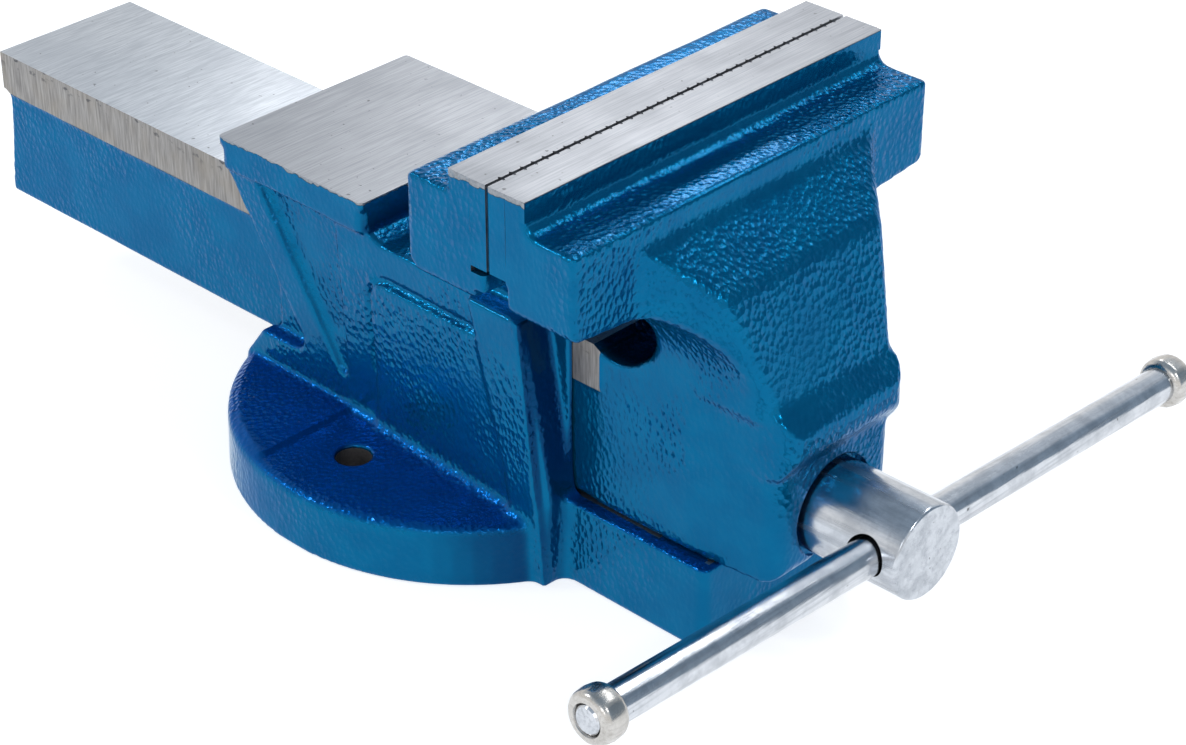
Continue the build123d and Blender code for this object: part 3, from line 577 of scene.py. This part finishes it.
def make_plated(name, colour, dark, roughness, streaks=(900.0, 14.0, 900.0)):
    """Turned and plated steel: streaks along its length, a few pits and a blotchy haze."""
    s = Shader(name)
    haze = s.noise(s.position, scale=130.0, detail=4.0, roughness=0.65)
    pits = s.ramp(s.noise(s.position, scale=700.0, detail=1.0), 0.77, 0.80)
    fine = s.noise(s.position, scale=2600.0, detail=2.0)
    scratch = s.ramp(s.noise(s.scaled(streaks), detail=3.0), 0.42, 0.72)
    base = s.mix(s.product(s.ramp(haze, 0.35, 0.7), 0.5), colour, dark)
    base = s.mix(s.product(scratch, 0.45), base, dark)
    base = s.mix(s.product(pits, 0.8), base, rgb(40, 40, 42))
    rough = s.blend(scratch, roughness, roughness + 0.12)
    height = s.math("ADD", s.product(fine, 0.3), scratch)
    s.set(Base_Color=base, Metallic=1.0, Roughness=rough, Normal=s.bump(height, 0.03 * MM, 0.7))
    return s.material


def make_raw_iron():
    """Bare, oiled cast iron with a sandy grain."""
    s = Shader("raw_iron")
    grain = s.noise(s.position, scale=1300.0, detail=4.0, roughness=0.7)
    broad = s.noise(s.position, scale=80.0, detail=3.0)
    base = s.mix(grain, rgb(62, 62, 66), rgb(112, 111, 112))
    base = s.mix(s.product(broad, 0.4), base, rgb(92, 80, 68))
    s.set(Base_Color=base, Metallic=0.7, Roughness=0.55, Normal=s.bump(grain, 0.12 * MM, 0.8))
    return s.material


def make_dark(name, colour, worn):
    """Dark steel of small hardware, rubbed brighter in places."""
    s = Shader(name)
    rub = s.ramp(s.noise(s.position, scale=350.0, detail=3.0), 0.5, 0.72)
    fine = s.noise(s.position, scale=2200.0, detail=2.0)
    s.set(Base_Color=s.mix(rub, colour, worn), Metallic=0.9, Roughness=0.38)
    s.set(Normal=s.bump(fine, 0.02 * MM, 0.5))
    return s.material


PAINT = make_paint()
JAW_TOPS = make_ground("ground_jaw", (0.00035, 0.02, 0.0006), rgb(155, 157, 162), rgb(131, 134, 139))
ANVIL_FACE = make_ground("ground_anvil", (0.0004, 0.018, 0.0006), rgb(171, 173, 178), rgb(144, 147, 152))
BAR_FACE = make_ground("planed_slide", (0.0007, 0.012, 0.0007), rgb(208, 211, 215), rgb(176, 180, 186))
MACHINED = make_ground("milled", (0.0006, 0.008, 0.004), rgb(176, 178, 182), rgb(138, 140, 145), 0.42)
STRIP = make_strip()
PLATED = make_plated("plated_steel", rgb(210, 213, 218), rgb(150, 155, 162), 0.16)
HEAD = make_plated("turned_head", rgb(205, 209, 215), rgb(146, 152, 160), 0.18, (30.0, 420.0, 420.0))
KNOB = make_plated("knob_steel", rgb(206, 203, 199), rgb(160, 156, 150), 0.2)
RAW_IRON = make_raw_iron()
DARK = make_dark("black_oxide", rgb(42, 42, 45), rgb(96, 96, 100))
SPRING = make_dark("spring_wire", rgb(84, 86, 92), rgb(150, 152, 158))


# ---------------------------------------------------------------- fixed casting
def panel_groove(block):
    """Depth of the groove that frames the raised panel on each side wall, above and behind it."""
    back = np.minimum(block.x - PANEL_BACK_X - PANEL_CORNER, 0.0)
    above = np.maximum(block.z - PANEL_TOP + PANEL_CORNER, 0.0)
    from_edge = np.abs(np.hypot(back, above) - PANEL_CORNER - 1.2 * MM)
    line = ease(from_edge, 1.5 * MM, 0.5 * MM)
    line = line * ease(block.x, 46 * MM, 36 * MM) * ease(block.z, 36 * MM, 48 * MM)
    return 1.1 * MM * line * ease(np.abs(block.y), 31 * MM, 33 * MM)


def gusset_depth(block):
    """Extra depth of the three-cornered recess under the anvil's tail."""
    rear = ANVIL_FRONT_X - ANVIL_LENGTH + 16 * MM + 0.57 * (ANVIL_TOP - 11 * MM - block.z)
    inside = ease(block.x - rear, 0.0, 1.0 * MM) * ease(block.x, -21.5 * MM, -22.5 * MM)
    tall = ease(block.z, 44 * MM, 48 * MM) * ease(block.z, 89 * MM, 88 * MM)
    return 0.8 * MM * inside * tall * ease(np.abs(block.y), 29 * MM, 31 * MM)


def bolt_cutter(place):
    """Cutter for a mounting hole with a softly rounded upper rim."""
    below = -10 * MM
    above = BASE_TOP + 0.4 * MM
    rim = [(BASE_TOP - 1.2 * MM, 0.0), (BASE_TOP - 0.6 * MM, 0.12 * MM)]
    rim += [(BASE_TOP - 0.2 * MM, 0.42 * MM), (BASE_TOP, 0.8 * MM), (above, 1.6 * MM)]
    profile = [(below, 0.0), (below, BOLT_HOLE_R)]
    profile += [(z, BOLT_HOLE_R + extra) for z, extra in rim]
    return revolved("bolt_hole", profile + [(above, 0.0)], place, (0, 0, 1), 96)


def make_fixed_casting():
    """Round base, housing, anvil and fixed jaw: rough cast and painted, then machined."""
    cast = copy_of("fixed_body", "fixed_casting")
    plate_x = FIXED_PLATE_LO.x
    land_x = (GAP_X - FIXED_LAND, plate_x)
    anvil_x = (ANVIL_FRONT_X - ANVIL_LENGTH, ANVIL_FRONT_X)
    raw = [
        box_object(
            "channel_fill",
            (FIXED_LO.x + 20 * MM, GAP_X - 13 * MM),
            both(CHANNEL_HALF + FILL),
            (CHANNEL_FLOOR - FILL, CHANNEL_TOP + FILL),
        ),
        box_object(
            "anvil_stock", anvil_x, both(ANVIL_WIDTH / 2), (ANVIL_TOP - 3 * MM, ANVIL_TOP + STOCK)
        ),
        box_object("land_stock", land_x, both(JAW_HALF), (JAW_TOP - 3 * MM, JAW_TOP + STOCK)),
        box_object(
            "seat_stock",
            (plate_x - 3 * MM, plate_x + STOCK),
            both(JAW_HALF),
            (FIXED_PLATE_LO.z - 8 * MM, JAW_TOP + STOCK),
        ),
    ]
    for y in both(BOLT_HOLE_Y):
        start, end = (0, y, FILL), (0, y, BASE_TOP - FILL)
        raw.append(cylinder_object("hole_fill", BOLT_HOLE_R + FILL, start, end))
    boolean(cast, "UNION", raw)

    # hollow corners fill up, most of all along the foot; then the proud edges wear round
    block = Block(FIXED_LO, FIXED_HI + Vector((0, 0, STOCK)))
    rough = surface_of(cast.data)
    low = ease(block.z, 33 * MM, 26 * MM) * ease(block.x, -26 * MM, -16 * MM)
    hollow = merged(low, block.closed(rough, 0.9 * MM), block.closed(rough, 3.2 * MM))
    hollow += waves(block) * ease(block.z, 0.5 * MM, 4 * MM)
    hollow += panel_groove(block) + gusset_depth(block)
    rounded = block.opened(block.surface(hollow), EDGE_ROUNDING)
    replace_mesh(cast, mesh_of(cast.name, block.surface(rounded)))

    whole_x = (FIXED_LO.x - 5 * MM, FIXED_HI.x + 5 * MM)
    behind_x = (FIXED_LO.x, ANVIL_FRONT_X + 3 * MM)
    seat_z = (FIXED_PLATE_LO.z - 2 * MM, JAW_TOP + PAST)
    cuts = [
        box_object("channel", whole_x, both(CHANNEL_HALF), (CHANNEL_FLOOR, CHANNEL_TOP)),
        box_object("anvil_plane", behind_x, ACROSS, (ANVIL_TOP, ANVIL_TOP + PAST)),
        box_object("jaw_plane", (0.0, FIXED_HI.x), ACROSS, (JAW_TOP, JAW_TOP + PAST)),
        box_object("seat_plane", (plate_x, plate_x + PAST), ACROSS, seat_z),
        box_object("floor_plane", whole_x, ACROSS, (-PAST, 0.0)),
    ]
    cuts += [bolt_cutter((0, y, 0)) for y in both(BOLT_HOLE_Y)]
    boolean(cast, "DIFFERENCE", cuts)
    land_z = (JAW_TOP - FIXED_LEDGE_DROP + 1 * MM, JAW_TOP)
    boolean(cast, "UNION", [box_object("land", land_x, both(JAW_HALF - 0.1 * MM), land_z)])
    return cast


def fixed_faces(centres, normals):
    """0 painted, 1 anvil face, 2 jaw top, 3 milled, 4 raw."""
    x, y, z = centres.T
    up = normals[:, 2] > 0.99
    kind = np.zeros(len(x), int)
    kind[up & (np.abs(z - ANVIL_TOP) < FLAT) & (x < ANVIL_FRONT_X + 1 * MM)] = 1
    kind[up & (np.abs(z - JAW_TOP) < FLAT)] = 2
    behind_plate = z > FIXED_PLATE_LO.z - 0.3 * MM
    kind[behind_plate & (normals[:, 0] > 0.99) & (np.abs(x - FIXED_PLATE_LO.x) < FLAT)] = 3
    near = 0.05 * MM
    inside = (np.abs(y) < CHANNEL_HALF + near) & (z > CHANNEL_FLOOR - near) & (z < CHANNEL_TOP + near)
    kind[inside & (np.abs(normals[:, 0]) < 0.1)] = 3
    kind[(normals[:, 2] < -0.99) & (z < FLAT)] = 3
    from_hole = np.hypot(x, np.abs(y) - BOLT_HOLE_Y)
    kind[(from_hole < BOLT_HOLE_R + FLAT) & (z < BASE_TOP)] = 4
    return kind


fixed_casting = make_fixed_casting()
paint_faces(fixed_casting, [PAINT, ANVIL_FACE, JAW_TOPS, MACHINED, RAW_IRON], fixed_faces)
smooth_by_angle(fixed_casting, 40)
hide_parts("fixed_body")
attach(fixed_casting, "fixed_vise")


# ---------------------------------------------------------------- moving casting
def make_moving_casting():
    """Wings, shield, nose and boxed slide: rough cast and painted, then machined."""
    cast = copy_of("moving_jaw", "moving_casting")
    plate_x = MOVING_PLATE_HI.x
    land_x = (plate_x, GAP_X + MOVING_LAND)
    strip_x = (BAR_TAIL_X - STOCK, STRIP_END_X)
    raw = [
        box_object("bar_stock", strip_x, both(BAR_HALF + STOCK), (STRIP_LOW, BAR_TOP + STOCK)),
        box_object("land_stock", land_x, both(JAW_HALF), (JAW_TOP - 3 * MM, JAW_TOP + STOCK)),
        box_object(
            "seat_stock",
            (plate_x - STOCK, plate_x + 3 * MM),
            both(JAW_HALF),
            (MOVING_PLATE_LO.z - 1 * MM, JAW_TOP + STOCK),
        ),
    ]
    boolean(cast, "UNION", raw)

    # hollow corners fill up, widest on the nose's flanks; then the shield's edges wear rounder
    block = Block(MOVING_LO - Vector((STOCK, 0, 0)), MOVING_HI + Vector((0, 0, STOCK)))
    rough = surface_of(cast.data)
    front = ease(block.x, GAP_X + 22 * MM, GAP_X + 28 * MM)
    hollow = merged(front, block.closed(rough, 1.2 * MM), block.closed(rough, 2.6 * MM))
    flank = ease(block.x, GAP_X + 16 * MM, GAP_X + 21 * MM) * ease(np.abs(block.y), 23 * MM, 26 * MM)
    hollow = merged(flank, hollow, block.closed(rough, 6.0 * MM))
    hollow += waves(block) + PAINT_STEP * ease(block.x, GAP_X, GAP_X - 8 * MM)
    skin = block.surface(hollow)
    shield = (
        ease(block.x, GAP_X + 10 * MM, GAP_X + 14 * MM)
        * ease(np.abs(block.y), 50 * MM, 44 * MM)
        * ease(block.z, 136 * MM, 128 * MM)
        * ease(block.z, 84 * MM, 88 * MM)
    )
    rounded = merged(shield, block.opened(skin, EDGE_ROUNDING), block.opened(skin, 4.0 * MM))
    replace_mesh(cast, mesh_of(cast.name, block.surface(rounded)))

    start_x = BAR_TAIL_X - PAST
    side_x = (start_x, STRIP_END_X + 1 * MM)
    low = STRIP_LOW - 1.2 * MM
    high = BAR_TOP + 8 * MM
    reach = 34 * MM
    seat_z = (MOVING_PLATE_LO.z - 2 * MM, JAW_TOP + PAST)
    cuts = [
        box_object("bar_plane", (start_x, GAP_X - 4 * MM), ACROSS, (BAR_TOP, high)),
        box_object("near_plane", side_x, (ACROSS[0], -BAR_HALF), (low, high)),
        box_object("far_plane", side_x, (BAR_HALF, ACROSS[1]), (low, high)),
        box_object("tail_plane", (start_x, STRIP_TAIL_X), ACROSS, (low, BAR_TOP + PAST)),
        cylinder_object("relief", RELIEF_R, (RELIEF_X, -reach, RELIEF_Z), (RELIEF_X, reach, RELIEF_Z)),
        box_object("jaw_plane", (GAP_X - 5 * MM, MOVING_HI.x), ACROSS, (JAW_TOP, JAW_TOP + PAST)),
        box_object("seat_plane", (plate_x - PAST, plate_x), ACROSS, seat_z),
    ]
    for name, radius, depth in (("recess", RECESS_R, RECESS_DEPTH), ("bore", BORE_R, 30 * MM)):
        start = (NOSE_X - depth, 0, SPINDLE_Z)
        cuts.append(cylinder_object(name, radius, start, (NOSE_X + PAST, 0, SPINDLE_Z)))
    boolean(cast, "DIFFERENCE", cuts)
    land_z = (JAW_TOP - SHOULDER_DROP + 4 * MM, JAW_TOP)
    boolean(cast, "UNION", [box_object("land", land_x, both(JAW_HALF - 0.1 * MM), land_z)])
    return cast


def moving_faces(centres, normals):
    """0 painted, 1 top of the slide, 2 jaw top, 3 milled, 4 side strip and tail of the slide."""
    x, y, z = centres.T
    up = normals[:, 2] > 0.99
    kind = np.zeros(len(x), int)
    kind[up & (np.abs(z - BAR_TOP) < FLAT) & (x < GAP_X)] = 1
    kind[(normals[:, 0] < -0.99) & (np.abs(x - STRIP_TAIL_X) < FLAT)] = 4
    kind[up & (np.abs(z - JAW_TOP) < FLAT)] = 2
    behind_plate = z > MOVING_PLATE_LO.z - 0.3 * MM
    kind[behind_plate & (normals[:, 0] < -0.99) & (np.abs(x - MOVING_PLATE_HI.x) < FLAT)] = 3
    sideways = np.abs(normals[:, 1]) > 0.99
    kind[sideways & (np.abs(np.abs(y) - BAR_HALF) < FLAT) & (x < STRIP_END_X)] = 4
    return kind


moving_casting = make_moving_casting()
paint_faces(moving_casting, [PAINT, BAR_FACE, JAW_TOPS, MACHINED, STRIP], moving_faces)
smooth_by_angle(moving_casting, 40)
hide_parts("moving_jaw")
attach(moving_casting, "sliding_jaw")


# ---------------------------------------------------------------- turned pieces
handle_axis = Vector((0.0, math.cos(HANDLE_TILT), -math.sin(HANDLE_TILT)))
handle_origin = Vector((HANDLE_X, 0.0, SPINDLE_Z - HANDLE_DROP))
near_middle = HANDLE_SHIFT - HANDLE_SPAN / 2
far_middle = HANDLE_SHIFT + HANDLE_SPAN / 2


def make_spindle():
    """Head with its chamfer and cross hole, and the shaft down to its thread."""
    front_edge = 1.2 * MM
    back_edge = 0.4 * MM
    core = SHAFT_R - THREAD_DEPTH
    head_start = NOSE_X - RECESS_DEPTH + 0.3 * MM
    length = HEAD_END_X - head_start
    shaft_end = THREAD_FRONT_X - head_start
    profile = [
        (shaft_end - 4 * MM, 0.0),
        (shaft_end - 4 * MM, core),
        (shaft_end + 1.5 * MM, core),
        (shaft_end + 3.5 * MM, SHAFT_R),
        (0.0, SHAFT_R),
        (0.0, HEAD_R - back_edge),
        (back_edge, HEAD_R),
        *arc((length - front_edge, HEAD_R - front_edge), front_edge, 90, 0, 6),
        (length, 0.0),
    ]
    head = revolved("spindle_head", profile, (head_start, 0, SPINDLE_Z), (1, 0, 0))
    lift = Vector((0, 0, HANDLE_DROP))
    start, end = [handle_origin + handle_axis * along + lift for along in both(20 * MM)]
    boolean(head, "DIFFERENCE", [cylinder_object("hole", HANDLE_HOLE_R, start, end)])
    return head


spindle_head = make_spindle()
dress(spindle_head, HEAD)
smooth_by_angle(spindle_head, 35)
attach(spindle_head, "spindle_screw")


def make_thread():
    """A true helical thread, fading into its core at both ends."""
    steps = 36
    core = SHAFT_R - THREAD_DEPTH
    count = int((THREAD_FRONT_X - SPINDLE_LO.x) / THREAD_PITCH * steps)
    shape = [(0.0, 0.0), (0.18, 1.0), (0.52, 1.0), (0.70, 0.0)]
    points, faces = [], []
    for k in range(count + 1):
        angle = 2 * math.pi * k / steps
        start_x = SPINDLE_LO.x + 1.0 * MM + THREAD_PITCH * k / steps
        fade = min(1.0, k / steps, (count - k) / steps)
        for share, rise in shape:
            radius = core + THREAD_DEPTH * rise * fade
            x = min(start_x + share * THREAD_PITCH, THREAD_FRONT_X)
            points.append((x, radius * math.cos(angle), SPINDLE_Z + radius * math.sin(angle)))
    width = len(shape)
    for k in range(count):
        for j in range(width - 1):
            a = k * width + j
            faces.append((a, a + 1, a + width + 1, a + width))
    for k in range(count - steps):
        a = k * width + width - 1
        b = (k + steps) * width
        faces.append((a, b, b + width, a + width))
    mesh = bpy.data.meshes.new("spindle_thread")
    mesh.from_pydata(points, [], faces)
    return new_object("spindle_thread", mesh)


spindle_thread = make_thread()
dress(spindle_thread, PLATED)
smooth_by_angle(spindle_thread, 30)
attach(spindle_thread, "spindle_screw")
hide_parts("spindle")


def make_knob(name, middle):
    """Barrel-shaped knob with rounded rims and a groove round the riveted bar end."""
    half = KNOB_LENGTH / 2
    rim = 2.4 * MM
    groove = 0.7 * MM
    rim_r = KNOB_R - 0.25 * MM
    left = arc((-half + rim, rim_r - rim), rim, 180, 90, 8)
    right = arc((half - rim, rim_r - rim), rim, 90, 0, 8)
    face = [
        (half, TENON_R + groove),
        (half - groove, TENON_R + 0.5 * groove),
        (half - 2 * groove, TENON_R + 0.02 * MM),
    ]
    back = [(-along, radius) for along, radius in reversed(face)]
    profile = back + left + [(0.0, KNOB_R)] + right + face
    placed = [(middle + along, radius) for along, radius in profile + profile[:1]]
    return revolved(name, placed, handle_origin, handle_axis, 96)


for name, middle in (("knob_near", near_middle), ("knob_far", far_middle)):
    knob = make_knob(name, middle)
    dress(knob, KNOB)
    smooth_by_angle(knob, 40)
    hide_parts("handle_" + name)
    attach(knob, "handle")


def make_rod():
    """The handle's bar, thinner where it is riveted through the knobs."""
    half = KNOB_LENGTH / 2
    rivet_edge = 0.5 * MM
    bar_edge = 0.3 * MM
    shoulder = 0.1 * MM
    profile = [
        (near_middle - half, 0.0),
        (near_middle - half, TENON_R - rivet_edge),
        (near_middle - half + rivet_edge, TENON_R),
        (near_middle + half - shoulder, TENON_R),
        (near_middle + half, HANDLE_R - bar_edge),
        (near_middle + half + bar_edge, HANDLE_R),
        (far_middle - half - bar_edge, HANDLE_R),
        (far_middle - half, HANDLE_R - bar_edge),
        (far_middle - half + shoulder, TENON_R),
        (far_middle + half - rivet_edge, TENON_R),
        (far_middle + half, TENON_R - rivet_edge),
        (far_middle + half, 0.0),
    ]
    return revolved("handle_rod", profile, handle_origin, handle_axis)


handle_rod = make_rod()
dress(handle_rod, PLATED)
smooth_by_angle(handle_rod, 35)
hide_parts("handle_bar")
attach(handle_rod, "handle")


# ---------------------------------------------------------------- jaw plates
def make_plate(node, face_x, outward):
    """A jaw plate with the edges of its working face broken."""
    plate = copy_of(node, node + "_ground")
    edge = 0.3 * MM
    width = 0.9 * MM
    x = sorted((face_x - outward * edge, face_x + outward * 2 * MM))
    above = JAW_TOP + 10 * MM
    cuts = [box_object("edge", x, ACROSS, (JAW_TOP - width, above))]
    for side in (-1, 1):
        y = sorted((side * (JAW_HALF - width), side * (JAW_HALF + 10 * MM)))
        cuts.append(box_object("edge", x, y, (JAW_TOP - 60 * MM, above)))
    boolean(plate, "DIFFERENCE", cuts)
    return plate


def plate_faces(centres, normals):
    """0 ground top, 1 painted ends and underside, 2 milled faces."""
    kind = np.full(len(centres), 2)
    kind[(normals[:, 2] > 0.9) & (centres[:, 2] > JAW_TOP - 0.1 * MM)] = 0
    kind[np.abs(normals[:, 1]) > 0.99] = 1
    kind[normals[:, 2] < -0.9] = 1
    return kind


for node, face_x, outward, body in (
    ("fixed_jaw_plate", FIXED_PLATE_HI.x, 1, "fixed_vise"),
    ("moving_jaw_plate", MOVING_PLATE_LO.x, -1, "sliding_jaw"),
):
    plate = make_plate(node, face_x, outward)
    paint_faces(plate, [JAW_TOPS, PAINT, MACHINED], plate_faces)
    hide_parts(node)
    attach(plate, body)


# ---------------------------------------------------------------- nodes shown as they are
JAW_SCREWS = (
    "fixed_jaw_screw_near",
    "fixed_jaw_screw_far",
    "moving_jaw_screw_near",
    "moving_jaw_screw_far",
)
for material, names in (
    (DARK, (*JAW_SCREWS, "nut_dowel", "nut_lock_washer", "nut_bolt")),
    (PLATED, ("nut_washer", "retaining_washer", "split_pin")),
    (RAW_IRON, ("spindle_nut",)),
    (SPRING, ("thrust_spring",)),
):
    for name in names:
        dress(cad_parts[name], material)


# ---------------------------------------------------------------- studio
def make_world():
    """A studio that is white low down, darker and bluer overhead and towards a card on the right."""
    world = bpy.data.worlds.new("studio")
    bpy.context.scene.world = world
    world.use_nodes = True
    n = Nodes(world.node_tree)
    around = n.node("TexCoord").outputs["Generated"]
    overhead = n.ramp(n.split(around)["Z"], 0.25, 0.95, 1.0, 0.45)
    card_way = Vector((0.75, 0.60, 0.28)).normalized()
    towards = n.node("VectorMath", {0: around, 1: card_way}, operation="DOT_PRODUCT").outputs["Value"]
    level = n.product(overhead, n.ramp(towards, 0.76, 0.95, 1.0, 0.42))
    colour = n.mix(level, (0.36, 0.66, 1.0, 1.0), (1.0, 1.0, 1.0, 1.0))
    shown = n.node("Background", {"Color": colour, "Strength": level})
    n.node("OutputWorld", {"Surface": shown.outputs[0]})


def make_floor():
    """A lit white table that still takes the object's shadow."""
    work = bmesh.new()
    bmesh.ops.create_grid(work, x_segments=1, y_segments=1, size=4.0)
    mesh = bpy.data.meshes.new("floor")
    work.to_mesh(mesh)
    work.free()
    floor = new_object("floor", mesh)
    floor.location.z = -0.2 * MM
    s = Shader("floor")
    s.set(Base_Color=(0.6, 0.6, 0.6, 1.0), Roughness=0.9, Specular_IOR_Level=0.0)
    s.set(Emission_Color=(1.0, 1.0, 1.0, 1.0), Emission_Strength=0.72)
    dress(floor, s.material)


def soft_box(name, place, target, size, radiance):
    """A rectangular lamp that looks as bright as its radiance."""
    lamp = bpy.data.objects.new(name, bpy.data.lights.new(name, "AREA"))
    bpy.context.scene.collection.objects.link(lamp)
    lamp.data.shape = "RECTANGLE"
    lamp.data.size, lamp.data.size_y = size
    lamp.data.energy = radiance * math.pi * size[0] * size[1]
    lamp.location = place
    lamp.rotation_euler = (Vector(target) - Vector(place)).to_track_quat("-Z", "Y").to_euler()


make_world()
make_floor()
soft_box("rear_sky", (-1.18, 1.36, 1.28), (0.1, 0.0, 0.13), (0.36, 0.22), 11.0)
soft_box("left_sky", (-1.2, -1.05, 1.35), (0.0, -0.04, 0.05), (0.35, 0.26), 20.0)
soft_box("back_strip", (0.2, 1.05, 1.4), (0.1, 0.0, 0.1), (1.2, 0.12), 8.0)
soft_box("front_fill", (0.9, -1.6, 1.0), (0.0, 0.0, 0.08), (0.8, 0.5), 2.0)
soft_box("spark", (1.5, -0.1, 1.3), (0.1, 0.0, 0.1), (0.12, 0.12), 90.0)

bpy.context.scene.view_settings.view_transform = "Standard"
